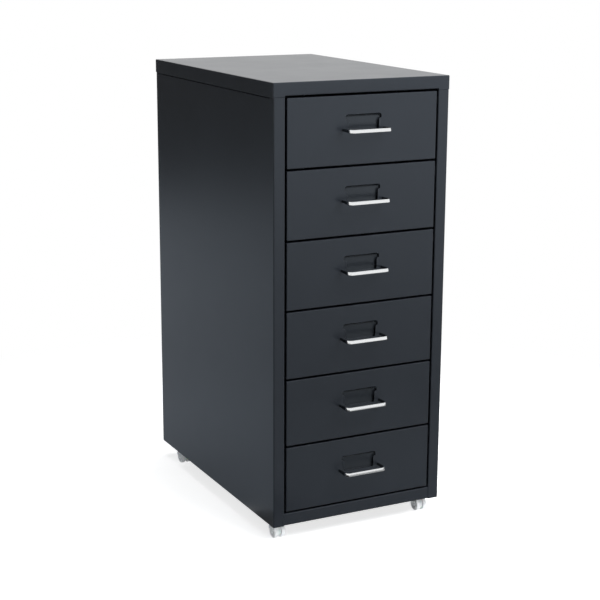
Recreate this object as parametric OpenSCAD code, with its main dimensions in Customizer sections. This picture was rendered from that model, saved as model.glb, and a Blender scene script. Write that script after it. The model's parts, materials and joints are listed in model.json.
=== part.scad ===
// Narrow steel drawer cabinet on four swivel casters.
// X is the width, +Y runs to the back, Z is up. The origin is on the floor, under the middle.

/* [Cabinet] */
// Width over the top cover
cabinet_w = 280; // [240:5:360]
// Depth from the drawer fronts to the back panel
cabinet_d = 430; // [390:5:520]
// Height of the rail above the drawers
top_rail_h = 20; // [16:1:32]
// Height of the rail below the drawers
bottom_rail_h = 20; // [14:1:32]
// How far the bottom rail lies behind the posts
rail_recess = 1; // [0.5:0.1:3]
// Width of the posts beside the drawers
post_w = 18; // [14:0.5:26]
// Depth of the lips folded behind the posts and rails
post_lip = 14; // [10:0.5:20]
// Thickness of all steel sheet
sheet_t = 0.8; // [0.6:0.05:1.2]
// Outer radius of the folded edges
fold_r = 1.4; // [0.8:0.1:1.8]
// Open seam where two panels meet
seam = 0.15; // [0.1:0.05:0.4]
// Bare edge left around the back panel
back_margin = 2; // [1:0.5:5]

/* [Drawers] */
// Height of one drawer with its gap
drawer_pitch = 100; // [84:1:130]
// Gap between a drawer front and a post
side_gap = 3; // [1.6:0.1:3]
// Gap between two drawer fronts
front_gap = 3.2; // [1.5:0.1:4]
// Depth of the edges folded behind a drawer front
front_lip = 12; // [8:0.5:16]
// Height of the tray floor above the lower gap
floor_rise = 6; // [4:0.5:12]
// Height of the tray rim below the upper gap
rim_drop = 19; // [16:0.5:30]
// Room behind a closed tray
rear_space = 28; // [20:1:40]
// Travel of a drawer to its stop
drawer_travel = 300; // [180:5:320]
// Width of the tabs that join the sheets of a tray
tray_tab = 10; // [6:0.5:16]

/* [Runners] */
// Clear height inside a runner
runner_h = 8.3; // [7:0.1:12]
// Width of the two legs of a runner
runner_leg = 7; // [5:0.25:9]
// Running gap over and under the tray rim
slide_gap = 0.35; // [0.3:0.05:0.6]
// Play between the tray and the runner at each side
side_play = 0.8; // [0.5:0.05:1.2]
// Height of the stop tab over the passing rim
stop_gap = 1.2; // [0.8:0.1:2]
// Gap between a front's lips and the runner legs behind them
leg_set_back = 4; // [2:0.5:8]

/* [Handle and label pocket] */
// Width of the handle
handle_w = 71; // [67:1:110]
// How far the handle stands out from the drawer front
handle_out = 25; // [14:0.5:32]
// Height of the handle's bar
handle_h = 4.8; // [4:0.1:9]
// Height of the handle's legs where they enter the front
leg_h = 3.2; // [3:0.1:4]
// Thickness of the handle's strip
strip_t = 2; // [1.2:0.1:2.4]
// Outer radius of the handle's bends
handle_r = 7; // [3:0.5:9]
// Length of the tabs bent over behind the front
clinch_l = 8; // [5:0.5:14]
// Height of the handle above the middle of the drawer
handle_lift = 1; // [-4:0.5:6]
// Width inside the label pocket
pocket_w = 57; // [51:0.2:60]
// Width between the two lips that hold the label
window_w = 49; // [36:0.2:49]
// Height of the label pocket
pocket_h = 23.6; // [20:0.1:30]
// Height of the slanted wall at the pocket's top
pocket_slope = 2.4; // [1:0.2:6]
// Height of the lips that hold the label
label_lip_h = 16.7; // [10:0.5:18]
// Depth of the label pocket
pocket_depth = 3.6; // [2.4:0.1:6]

/* [Casters] */
// Radius of the wheels
wheel_r = 10.5; // [9:0.25:13]
// Width of one wheel
wheel_w = 6.1; // [5:0.1:8]
// Radius of the wheel's shoulder
shoulder_r = 1.8; // [0.8:0.1:2.4]
// Height from the top of the wheels to the cabinet
caster_head = 5; // [4.7:0.1:9]
// Distance from the swivel axis to the axle
trail = 13; // [12:0.5:17]
// Distance from the side of the cabinet to the swivel axis
caster_in_x = 19; // [18:0.5:40]
// Distance from the front or back to the swivel axis
caster_in_y = 38; // [36:1:70]
// Thickness of the rib between two wheels
rib_t = 4; // [3:0.1:5]
// Gap between a wheel and the rib
wheel_gap = 0.4; // [0.3:0.05:0.8]
// Gap between the wheels and the hood
hood_gap = 0.6; // [0.4:0.05:1]
// Thickness of the hood
hood_t = 1.1; // [0.8:0.05:1.4]
// Radius of the axle
axle_r = 1.5; // [1.2:0.05:2]
// Radius of the kingpin
kingpin_r = 2.5; // [2:0.05:3]
// Radius of the boss that turns on the kingpin
boss_r = 5.6; // [5.2:0.1:6.4]
// Width of the mounting plate
plate_w = 30; // [28:0.5:34]
// Thickness of the mounting plate
plate_t = 1.6; // [1.2:0.1:2]

/* [Fasteners and fits] */
// Radius of the screw shanks
screw_r = 1.6; // [1.2:0.05:2]
// Radius of the screw heads
screw_head_r = 3; // [2.6:0.1:3.6]
// Height of the screw heads
screw_head_h = 1; // [0.8:0.05:1.2]
// Length of the screws under their heads
screw_l = 7; // [5:0.5:10]
// Radial running clearance of pins
run_gap = 0.05; // [0.02:0.01:0.1]
// Radial clearance of screws and fixed pins in their holes
hole_gap = 0.1; // [0.05:0.01:0.3]

/* [Hidden] */
$fn = 64;
DRAWERS = 6;
BACK_SCREW_ROWS = 4;
CORNERS = [["front_left", -1, -1], ["front_right", 1, -1], ["back_left", -1, 1], ["back_right", 1, 1]];

// Cabinet planes
body_h = top_rail_h + DRAWERS * drawer_pitch + bottom_rail_h;
floor_gap = 2 * wheel_r + caster_head;
depth_over_all = handle_out + cabinet_d + screw_head_h;
x_side = cabinet_w / 2;
x_web = x_side - sheet_t;
x_web_in = x_web - sheet_t;
x_open = x_side - post_w;
y_front = handle_out - depth_over_all / 2;
y_back = y_front + cabinet_d;
y_frame_back = y_back - sheet_t;
z_base = floor_gap;
z_top = z_base + body_h;
z_open = z_base + bottom_rail_h;
z_rail = z_top - top_rail_h;

// Runner and tray, seen from the opening's edge inwards
x_track = x_open - sheet_t;
x_rim = x_track - side_play;
x_leg_end = x_track - runner_leg;
x_wall = x_leg_end - side_play;
x_wall_in = x_wall - sheet_t;
y_legs = y_front + front_lip + leg_set_back;
y_tray_back = y_back - rear_space;
y_stop = y_tray_back - sheet_t - drawer_travel - slide_gap - sheet_t;
track_end_gap = 3;
rim_up = drawer_pitch - rim_drop;

// Handle and pocket
front_w = 2 * (x_open - side_gap);
front_h = drawer_pitch - front_gap;
handle_up = drawer_pitch / 2 + handle_lift;
leg_x = handle_w / 2 - strip_t;
pocket_foot = handle_up - handle_h / 2;

// Caster, measured down from the cabinet's underside
axle_down = caster_head + wheel_r;
caster_half = rib_t / 2 + wheel_gap + wheel_w;
hood_r = wheel_r + hood_gap;
boss_top = plate_t + slide_gap;
boss_reach = trail - boss_r - hood_gap;
boss_foot = axle_down - sqrt(max(0, pow(wheel_r, 2) - pow(boss_reach, 2))) - hood_gap;
pin_head_over = 1.4;
pin_head_r = kingpin_r + pin_head_over;
pin_head_h = 1.2;
pin_shoulder = boss_foot - pin_head_h - 2 * slide_gap;
hub_wall = 1.2;
hub_ring_r = 3.3;
hub_ring_w = 0.9;
hub_ring_deep = 0.8;
plate_hole_in = 4.5;
plate_hole = plate_w / 2 - plate_hole_in;
plate_corner_r = 3;

function drawer_z(n) = z_open + (DRAWERS - n) * drawer_pitch;

PAINT = "#41444b";
DARK_PAINT = "#36393f";
CHROME = "#dfe2e4";
ZINC = "#a9adb1";
PLASTIC = "#d9dcdd";
CLEAR = "#eceff0";

// ---- Shared shapes ----

// A block between two corners
module block(lo, hi) {
    translate(lo) cube(hi - lo);
}

// Cutter that rounds a block's edge along +X, with the block on the +Y and +Z side
module edge_x(l, r) {
    difference() {
        translate([-1, -1, -1]) cube([l + 2, r + 1, r + 1]);
        translate([-2, r, r]) rotate([0, 90, 0]) cylinder(r = r, h = l + 4);
    }
}

// Cutter that rounds a block's edge along +Z, with the block on the +X and +Y side
module edge_z(l, r) {
    difference() {
        translate([-1, -1, -1]) cube([r + 1, r + 1, l + 2]);
        translate([r, r, -2]) cylinder(r = r, h = l + 4);
    }
}

// A sheet pressed into a shallow pan: its face lies in the plane y = 0, four lips run to y = deep
module folded_pan(w, h, deep) {
    difference() {
        block([-w / 2, 0, 0], [w / 2, deep, h]);
        block([-w / 2 + sheet_t, sheet_t, sheet_t], [w / 2 - sheet_t, deep + 1, h - sheet_t]);
        translate([-w / 2, 0, 0]) edge_x(w, fold_r);
        translate([-w / 2, 0, h]) mirror([0, 0, 1]) edge_x(w, fold_r);
        for (side = [0, 1]) mirror([side, 0, 0]) translate([-w / 2, 0, 0]) edge_z(h, fold_r);
    }
}

// A flat plate with round corners, centred, standing on z = 0
module rounded_plate(w, h, r) {
    linear_extrude(h) {
        square([w - 2 * r, w], center = true);
        square([w, w - 2 * r], center = true);
        for (x = [-1, 1], y = [-1, 1]) translate([x * (w / 2 - r), y * (w / 2 - r)]) circle(r);
    }
}

// A pan-head screw along +Z, its head below z = 0
module screw() {
    translate([0, 0, -screw_head_h]) cylinder(r = screw_head_r, h = screw_head_h);
    cylinder(r = screw_r, h = screw_l);
}

// ---- Cabinet ----

// Cap over the cabinet with a flange on four sides and a lip folded in under the front
module top_panel() {
    color(PAINT) difference() {
        union() {
            translate([0, y_front, z_top]) rotate([-90, 0, 0]) folded_pan(cabinet_w, cabinet_d, top_rail_h);
            block([-x_web_in, y_front + sheet_t / 2, z_rail], [x_web_in, y_front + post_lip, z_rail + sheet_t]);
        }
        translate([-x_open, y_front, z_rail]) edge_x(2 * x_open, fold_r);
        for (side = [0, 1]) mirror([side, 0, 0]) {
            translate([-x_side, y_front, z_rail - 1]) edge_z(top_rail_h + 2, fold_r);
            translate([-x_side, y_back, z_rail - 1]) mirror([0, 1, 0]) edge_z(top_rail_h + 2, fold_r);
        }
        back_screw_holes();
    }
}

// Left side: a web that folds into a post with an inner lip at the front and at the back
module side_panel() {
    post_depth = y_frame_back - y_front;
    difference() {
        union() {
            block([-x_web, y_front, z_base], [-x_open, y_frame_back, z_rail]);
            block([-x_web, y_front + sheet_t, z_rail], [-x_open, y_frame_back, z_top - sheet_t]);
        }
        block([-x_web_in, y_front + sheet_t, z_base - 1], [-x_open - sheet_t, y_frame_back - sheet_t, z_top]);
        block([-x_web_in, y_front + post_lip, z_base - 1], [-x_open + 1, y_frame_back - post_lip, z_top]);
        block([-x_web_in, y_front - 1, z_rail], [-x_open + 1, y_frame_back - post_lip, z_top]);
        translate([-x_web, y_front, z_base]) edge_z(body_h, fold_r);
        translate([-x_web, y_frame_back, z_base]) mirror([0, 1, 0]) edge_z(body_h, fold_r);
        translate([-x_open, y_front, z_base]) mirror([1, 0, 0]) edge_z(z_rail - z_base, fold_r);
        back_screw_holes();
    }
}

module left_side_panel() {
    color(PAINT) side_panel();
}

module right_side_panel() {
    color(PAINT) mirror([1, 0, 0]) side_panel();
}

// Flat sheet screwed over the rear posts
module back_panel() {
    color(PAINT) difference() {
        block([-x_web + back_margin, y_frame_back, z_base + back_margin], [x_web - back_margin, y_back, z_rail - seam]);
        back_screw_holes();
    }
}

// Floor of the cabinet, folded up on four sides; its front fold is the rail under the drawers
module bottom_panel() {
    neck = x_open - seam;
    y_rail = y_front + rail_recess;
    y_wide = [y_front + post_lip + seam, y_frame_back - post_lip - seam];
    color(PAINT) difference() {
        union() {
            block([-x_web_in, y_wide[0], z_base], [x_web_in, y_wide[1], z_base + sheet_t]);
            block([-neck, y_rail, z_base], [neck, y_frame_back, z_base + sheet_t]);
            block([-neck, y_rail, z_base], [neck, y_rail + sheet_t, z_open]);
            block([-neck, y_rail, z_open - sheet_t], [neck, y_front + post_lip, z_open]);
            block([-neck, y_frame_back - sheet_t, z_base], [neck, y_frame_back, z_open]);
            for (side = [0, 1]) mirror([side, 0, 0])
                block([-x_web_in, y_wide[0], z_base], [-x_web_in + sheet_t, y_wide[1], z_open]);
        }
        translate([-neck, y_rail, z_base]) edge_x(2 * neck, fold_r);
        translate([-neck, y_rail, z_open]) mirror([0, 0, 1]) edge_x(2 * neck, fold_r);
        for (c = CORNERS) at_caster(c) at_plate_holes()
            cylinder(r = screw_r + hole_gap, h = 4 * sheet_t, center = true);
        back_screw_holes();
    }
}

// One C-shaped runner on the left, open to the inside, with a stop tab lanced from its web
module runner(n) {
    z_rim = drawer_z(n) + rim_up;
    z_low = z_rim - sheet_t - slide_gap;
    z_high = z_low + runner_h;
    y_end = y_frame_back - track_end_gap;
    block([-x_open, y_front + track_end_gap, z_low - sheet_t], [-x_track, y_end, z_high + sheet_t]);
    block([-x_open, y_legs, z_low - sheet_t], [-x_leg_end, y_end, z_low]);
    block([-x_open, y_legs, z_high], [-x_leg_end, y_end, z_high + sheet_t]);
    block([-x_open, y_stop, z_rim + stop_gap], [-x_rim + runner_leg / 2, y_stop + sheet_t, z_high + sheet_t]);
}

module left_runners() {
    color(DARK_PAINT) for (n = [1:DRAWERS]) runner(n);
}

module right_runners() {
    color(DARK_PAINT) mirror([1, 0, 0]) for (n = [1:DRAWERS]) runner(n);
}

// Places of the screws in the back: two columns into the rear posts, one row in each rail
module at_back_screws() {
    column_x = x_side - post_w / 2;
    row_z = (z_rail - z_base) / BACK_SCREW_ROWS;
    for (side = [-1, 1], row = [0:BACK_SCREW_ROWS - 1])
        translate([side * column_x, y_back, z_base + (row + 0.5) * row_z]) rotate([90, 0, 0]) children();
    for (side = [-1, 1]) {
        translate([side * column_x, y_back, z_rail + top_rail_h / 2]) rotate([90, 0, 0]) children();
        translate([side * x_open / 2, y_back, z_base + bottom_rail_h / 2]) rotate([90, 0, 0]) children();
    }
}

module back_screw_holes() {
    at_back_screws() translate([0, 0, -1]) cylinder(r = screw_r + hole_gap, h = screw_l);
}

module back_screws() {
    color(ZINC) at_back_screws() screw();
}

// ---- Drawers ----

// Puts a drawer's pieces in place: y = 0 is the front's face, z = 0 the lower gap line
module at_drawer(n) {
    translate([0, y_front, drawer_z(n)]) children();
}

// Section of the label pocket, y into the drawer and z up from the pocket's foot, grown by wall
module pocket_section(wall) {
    polygon([
        [-1, -wall], [pocket_depth + wall, -wall], [pocket_depth + wall, pocket_h - pocket_slope + wall / 2],
        [0, pocket_h + wall], [-1, pocket_h + wall]
    ]);
}

// The pocket's section carried over a width, standing on the pocket's foot
module pocket_body(w, wall) {
    translate([-w / 2, 0, pocket_foot]) rotate([90, 0, 90]) linear_extrude(w) pocket_section(wall);
}

// Folded front with the stamped label pocket and the two slots of the handle
module drawer_front(n) {
    color(PAINT) at_drawer(n) difference() {
        union() {
            translate([0, 0, front_gap / 2]) folded_pan(front_w, front_h, front_lip);
            intersection() {
                pocket_body(pocket_w + 2 * sheet_t, sheet_t);
                block([-pocket_w, sheet_t / 2, 0], [pocket_w, pocket_depth + 2 * sheet_t, drawer_pitch]);
            }
        }
        intersection() {
            pocket_body(pocket_w, 0);
            union() {
                block([-pocket_w, sheet_t, 0], [pocket_w, pocket_depth + 1, drawer_pitch]);
                block([-window_w / 2, -1, 0], [window_w / 2, pocket_depth, drawer_pitch]);
                block([-pocket_w, -1, pocket_foot + label_lip_h], [pocket_w, pocket_depth, drawer_pitch]);
            }
        }
        for (side = [0, 1]) mirror([side, 0, 0])
            block([leg_x - seam, -1, handle_up - leg_h / 2 - seam],
                  [leg_x + strip_t + seam, 2 * sheet_t, handle_up + leg_h / 2 + seam]);
    }
}

// Floor and two sides from one sheet, with rims that ride in the runners and an ear at each rear end
module drawer_tray(n) {
    y_rear = y_tray_back - y_front;
    color(DARK_PAINT) at_drawer(n) {
        block([-x_wall, sheet_t, floor_rise], [x_wall, y_rear, floor_rise + sheet_t]);
        block([-x_wall, sheet_t, floor_rise], [x_wall, 2 * sheet_t, floor_rise + tray_tab]);
        for (side = [0, 1]) mirror([side, 0, 0]) {
            block([-x_wall, sheet_t, floor_rise], [-x_wall_in, y_rear, rim_up]);
            block([-x_wall, sheet_t, floor_rise], [-x_wall_in + tray_tab, 2 * sheet_t, rim_up]);
            block([-x_rim, front_lip + sheet_t, rim_up - sheet_t], [-x_wall_in, y_rear, rim_up]);
            block([-x_rim, y_rear - sheet_t, rim_up - sheet_t],
                  [-x_leg_end, y_rear, rim_up - sheet_t - 2 * slide_gap + runner_h]);
        }
    }
}

// Rear wall of the tray with a tab along each side and along the floor
module drawer_back(n) {
    y_rear = y_tray_back - y_front;
    half = x_wall_in - seam;
    color(DARK_PAINT) at_drawer(n) difference() {
        block([-half, y_rear - tray_tab, floor_rise + sheet_t], [half, y_rear, rim_up]);
        block([-half + sheet_t, y_rear - tray_tab - 1, floor_rise + 2 * sheet_t],
              [half - sheet_t, y_rear - sheet_t, rim_up + 1]);
    }
}

// Bent strip: a bar, two legs that taper towards the front and a tab bent outwards behind it
module drawer_handle(n) {
    leg_end = 2 * sheet_t;
    color(CHROME) at_drawer(n) translate([0, 0, handle_up]) {
        intersection() {
            translate([0, 0, -handle_h / 2]) linear_extrude(handle_h) handle_plan();
            rotate([90, 0, 90]) linear_extrude(handle_w, center = true) polygon([
                [-handle_out, -handle_h / 2], [-handle_out + handle_r, -handle_h / 2],
                [-sheet_t, -leg_h / 2], [leg_end, -leg_h / 2],
                [leg_end, leg_h / 2], [-sheet_t, leg_h / 2],
                [-handle_out + handle_r, handle_h / 2], [-handle_out, handle_h / 2]
            ]);
        }
        for (side = [0, 1]) mirror([side, 0, 0])
            block([leg_x, sheet_t, -leg_h / 2], [leg_x + clinch_l, sheet_t + strip_t, leg_h / 2]);
    }
}

// Outline of the handle from above: a strip of even thickness with two round bends
module handle_plan() {
    difference() {
        strip_outline(0, handle_r);
        strip_outline(strip_t, handle_r - strip_t);
    }
}

// Outline of the handle moved inwards by a margin, with bends of radius r
module strip_outline(margin, r) {
    half = handle_w / 2 - margin;
    near = -handle_out + margin;
    translate([-half, near + r]) square([2 * half, handle_out + 2 * sheet_t + 1]);
    translate([-half + r, near]) square([2 * (half - r), r + 1]);
    for (side = [-1, 1]) translate([side * (half - r), near + r]) circle(r);
}

// ---- Casters ----

// Puts a caster's pieces in place: the swivel axis is Z, z = 0 is the cabinet's underside
module at_caster(c) {
    translate([c[1] * (x_side - caster_in_x), c[2] < 0 ? y_front + caster_in_y : y_back - caster_in_y, z_base])
        children();
}

module at_plate_holes() {
    for (x = [-1, 1], y = [-1, 1]) translate([x * plate_hole, y * plate_hole]) children();
}

// Four square plates under the cabinet's floor
module caster_plates() {
    color(ZINC) for (c = CORNERS) at_caster(c) difference() {
        translate([0, 0, -plate_t]) rounded_plate(plate_w, plate_t, plate_corner_r);
        at_plate_holes() cylinder(r = screw_r + hole_gap, h = 3 * plate_t, center = true);
        cylinder(r = kingpin_r + hole_gap, h = 3 * plate_t, center = true);
    }
}

// Pins with a head at the lower end, which the housings hang and turn on
module caster_kingpins() {
    color(ZINC) for (c = CORNERS) at_caster(c) {
        translate([0, 0, -pin_shoulder - slide_gap]) cylinder(r = kingpin_r, h = pin_shoulder + slide_gap);
        translate([0, 0, -pin_shoulder - slide_gap - pin_head_h]) cylinder(r = pin_head_r, h = pin_head_h);
    }
}

module caster_screws() {
    color(ZINC) for (c = CORNERS) at_caster(c) at_plate_holes() translate([0, 0, -plate_t]) screw();
}

// A cylinder along the axle, centred between the wheels
module axle_disc(r, l) {
    translate([0, -trail, -axle_down]) rotate([0, 90, 0]) cylinder(r = r, h = l, center = true);
}

// Plastic body: a boss on the kingpin, a rib between the wheels and a hood over them
module caster_housing(c) {
    hood_top = caster_head - hood_gap - hood_t;
    color(PLASTIC) at_caster(c) difference() {
        union() {
            translate([0, 0, -boss_foot]) cylinder(r = boss_r, h = boss_foot - boss_top);
            axle_disc(wheel_r - 2, rib_t);
            intersection() {
                axle_disc(hood_r + hood_t, rib_t);
                block([-rib_t, -trail - wheel_r / 2, -axle_down], [rib_t, 0, -hood_top]);
            }
            intersection() {
                difference() {
                    axle_disc(hood_r + hood_t, 2 * caster_half);
                    axle_disc(hood_r, 3 * caster_half);
                }
                block([-caster_half, -trail - wheel_r / 2, -axle_down], [caster_half, 0, 0]);
            }
        }
        translate([0, 0, -boss_foot]) cylinder(r = kingpin_r + run_gap, h = 2 * boss_foot);
        translate([0, 0, -2 * axle_down]) cylinder(r = pin_head_r + 2 * slide_gap, h = 2 * axle_down - pin_shoulder);
        axle_disc(axle_r + run_gap, 2 * caster_half);
    }
}

module caster_axle(c) {
    color(ZINC) at_caster(c) axle_disc(axle_r, 2 * (caster_half - hub_wall - slide_gap));
}

// One wheel: round shoulder, a ring cut into its outer face and a blind bore; side is -1 or 1
module caster_wheel(c, side) {
    color(CLEAR) at_caster(c) translate([side * (rib_t / 2 + wheel_gap), -trail, -axle_down])
        rotate([0, side * 90, 0]) difference() {
            rotate_extrude() {
                square([wheel_r - shoulder_r, wheel_w]);
                square([wheel_r, wheel_w - shoulder_r]);
                translate([wheel_r - shoulder_r, wheel_w - shoulder_r]) circle(shoulder_r);
            }
            translate([0, 0, -1]) cylinder(r = axle_r + run_gap, h = wheel_w - hub_wall + 1);
            translate([0, 0, wheel_w - hub_ring_deep]) difference() {
                cylinder(r = hub_ring_r + hub_ring_w, h = 1);
                translate([0, 0, -1]) cylinder(r = hub_ring_r, h = 3);
            }
        }
}

// ---- Nodes ----

top_panel();
left_side_panel();
right_side_panel();
back_panel();
bottom_panel();
left_runners();
right_runners();
back_screws();
caster_plates();
caster_kingpins();
caster_screws();
for (n = [1:DRAWERS]) {
    drawer_front(n);
    drawer_tray(n);
    drawer_back(n);
    drawer_handle(n);
}
for (c = CORNERS) {
    caster_housing(c);
    caster_axle(c);
    caster_wheel(c, -1);
    caster_wheel(c, 1);
}
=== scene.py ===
"""Looks of a narrow steel drawer cabinet on four twin-wheel casters.

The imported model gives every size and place: X to the right, +Y to the back, Z up, floor at z = 0.
Shapes are worked out in millimetres as numpy arrays and turned to metres when they become meshes.
"""
import json
import logging
import math
from dataclasses import dataclass
from enum import Enum
from functools import cached_property
from typing import ClassVar

import bmesh
import bpy
import numpy as np
from mathutils import Matrix, Vector


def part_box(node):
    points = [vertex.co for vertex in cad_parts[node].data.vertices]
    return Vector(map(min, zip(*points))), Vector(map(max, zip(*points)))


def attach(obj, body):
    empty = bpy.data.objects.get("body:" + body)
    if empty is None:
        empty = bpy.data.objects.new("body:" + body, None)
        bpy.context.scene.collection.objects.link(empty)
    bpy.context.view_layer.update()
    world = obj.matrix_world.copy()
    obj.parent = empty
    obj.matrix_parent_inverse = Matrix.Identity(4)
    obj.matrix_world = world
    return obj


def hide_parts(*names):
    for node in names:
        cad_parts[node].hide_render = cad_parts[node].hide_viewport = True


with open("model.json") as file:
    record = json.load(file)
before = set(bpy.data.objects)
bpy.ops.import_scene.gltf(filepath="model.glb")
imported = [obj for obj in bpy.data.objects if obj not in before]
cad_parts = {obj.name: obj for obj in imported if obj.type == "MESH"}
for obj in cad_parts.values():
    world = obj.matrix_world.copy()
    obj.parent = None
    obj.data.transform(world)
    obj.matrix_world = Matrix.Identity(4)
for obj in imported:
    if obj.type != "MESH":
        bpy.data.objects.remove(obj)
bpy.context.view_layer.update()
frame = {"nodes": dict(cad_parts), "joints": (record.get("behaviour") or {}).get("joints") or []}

LOG = logging.getLogger("cabinet")
MM = 0.001
# Points nearer than this, in millimetres, become one
WELD_MM = 0.004
# Angles in radians and lengths in millimetres under this count as none
SMALL = 1e-6
# Keeps a division finite
TINY = 1e-9
DRAWERS = 6
WHITE = (1.0, 1.0, 1.0, 1.0)
Array = np.ndarray
Point = tuple[float, float, float]


class Hand(Enum):
    """The side of the cabinet or of a caster, by the sign of X."""

    LEFT = -1
    RIGHT = 1


class Corner(Enum):
    """The four casters, by name."""

    FRONT_LEFT = "front_left"
    FRONT_RIGHT = "front_right"
    BACK_LEFT = "back_left"
    BACK_RIGHT = "back_right"


# ---- Curves and surfaces, in millimetres ----


def rounded(corners: Array, radii: Array, closed: bool, steps: int = 7, hold: float = 0.3) -> Array:
    """Polyline whose corners are turned to arcs.

    An arc of radius r lies at r / tan(a / 2) from its corner along both sides, where a is the corner's
    angle, and is swept by turning the one spoke of its circle into the other. A further point lies
    `hold` outside each end of an arc, so that smooth shading stays out of the flats.

    Args:
        corners: (n, 2) corner points.
        radii: (n,) radius at each corner, 0 for a sharp one.
        closed: Whether the last corner joins the first.
        steps: Segments of each arc.
        hold: Distance of the holding points.

    Returns:
        (m, 2) points. A sharp corner gives repeated points, which the mesh welds.
    """
    back = np.roll(corners, 1, axis=0) - corners
    ahead = np.roll(corners, -1, axis=0) - corners
    back = back / np.linalg.norm(back, axis=1, keepdims=True)
    ahead = ahead / np.linalg.norm(ahead, axis=1, keepdims=True)
    angle = np.arccos(np.clip(np.sum(back * ahead, axis=1), -1.0, 1.0))[:, None]
    radius = np.asarray(radii, float)[:, None]
    reach = radius / np.maximum(np.tan(angle / 2), TINY)
    middle = back + ahead
    middle = middle / np.maximum(np.linalg.norm(middle, axis=1, keepdims=True), TINY)
    centre = corners + middle * radius / np.maximum(np.sin(angle / 2), TINY)
    spoke_in = corners + back * reach - centre
    spoke_out = corners + ahead * reach - centre
    sweep = np.pi - angle
    share = np.linspace(0.0, 1.0, steps + 1)[None, :]
    safe = np.maximum(np.sin(sweep), TINY)
    weight_in = np.where(sweep > SMALL, np.sin((1 - share) * sweep) / safe, 1 - share)
    weight_out = np.where(sweep > SMALL, np.sin(share * sweep) / safe, share)
    arcs = (
        centre[:, None, :]
        + weight_in[:, :, None] * spoke_in[:, None, :]
        + weight_out[:, :, None] * spoke_out[:, None, :]
    )
    held = hold * (radius > 0)
    before = (arcs[:, 0] + back * held)[:, None, :]
    after = (arcs[:, -1] + ahead * held)[:, None, :]
    points = np.concatenate([before, arcs, after], axis=1)
    if closed:
        return points.reshape(-1, 2)
    return np.concatenate([corners[:1], points[1:-1].reshape(-1, 2), corners[-1:]])


def filled(outline: Array, step: float) -> Array:
    """Puts further points on an outline's long sides, evenly and at most a step apart.

    Args:
        outline: (n, 2) points of a closed outline.
        step: Greatest distance between two points.

    Returns:
        (m, 2) points.
    """
    ahead = np.roll(outline, -1, axis=0)
    count = np.maximum(np.ceil(np.linalg.norm(ahead - outline, axis=1) / step), 1).astype(int)
    start = np.repeat(outline, count, axis=0)
    share = (np.arange(count.sum()) - np.repeat(np.cumsum(count) - count, count)) / np.repeat(count, count)
    return start + share[:, None] * (np.repeat(ahead, count, axis=0) - start)


def star_radius(outline: Array, angles: Array) -> Array:
    """Distance of a closed outline from the origin at given angles, straight between its points.

    Args:
        outline: (n, 2) points, all of which the origin sees.
        angles: Any array of angles in radians.

    Returns:
        The distances, in the angles' shape.
    """
    own = np.arctan2(outline[:, 1], outline[:, 0])
    order = np.argsort(own)
    own = own[order]
    nearness = 1.0 / np.linalg.norm(outline[order], axis=1)
    count = len(own)
    after = np.searchsorted(own, angles) % count
    before = (after - 1) % count
    span = (own[after] - own[before]) % (2 * np.pi)
    part = ((angles - own[before]) % (2 * np.pi)) / np.maximum(span, TINY)
    # Along a straight line the nearness is a sine wave of the angle, so it is blended by sines
    wave = np.maximum(np.sin(span), TINY)
    mixed = (np.sin((1 - part) * span) * nearness[before] + np.sin(part * span) * nearness[after]) / wave
    return 1.0 / np.where(span > SMALL, mixed, nearness[before])


def turned(profile: Array, centre: Array, axis: int, sign: float, steps: int = 64) -> Array:
    """Surface of revolution: each (radius, height) point of the profile is carried round an axis.

    Args:
        profile: (n, 2) radius and height along the axis.
        centre: Point on the axis where the height is 0.
        axis: 0, 1 or 2 for an axis along X, Y or Z.
        sign: 1 or -1, the way in which the height grows.
        steps: Points round the axis.

    Returns:
        (n, steps, 3) grid.
    """
    angle = np.linspace(0.0, 2 * np.pi, steps, endpoint=False)
    grid = np.empty((len(profile), steps, 3))
    grid[..., (axis + 1) % 3] = profile[:, :1] * np.cos(angle)
    grid[..., (axis + 2) % 3] = profile[:, :1] * np.sin(angle)
    grid[..., axis] = sign * profile[:, 1:]
    return grid + np.asarray(centre)


def carried(sections: Array, places: Array, axis: int) -> Array:
    """Plane sections set at places along an axis.

    Args:
        sections: (n, 2) one section, or (k, n, 2) one for each place.
        places: (k,) coordinate of each section along the axis.
        axis: 0, 1 or 2; the section's two coordinates are the other two, in the order X, Y, Z.

    Returns:
        (k, n, 3) grid.
    """
    sections = np.broadcast_to(sections, (len(places), *sections.shape[-2:]))
    grid = np.empty((*sections.shape[:2], 3))
    others = [k for k in range(3) if k != axis]
    grid[..., others] = sections
    grid[..., axis] = np.asarray(places)[:, None]
    return grid


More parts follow.
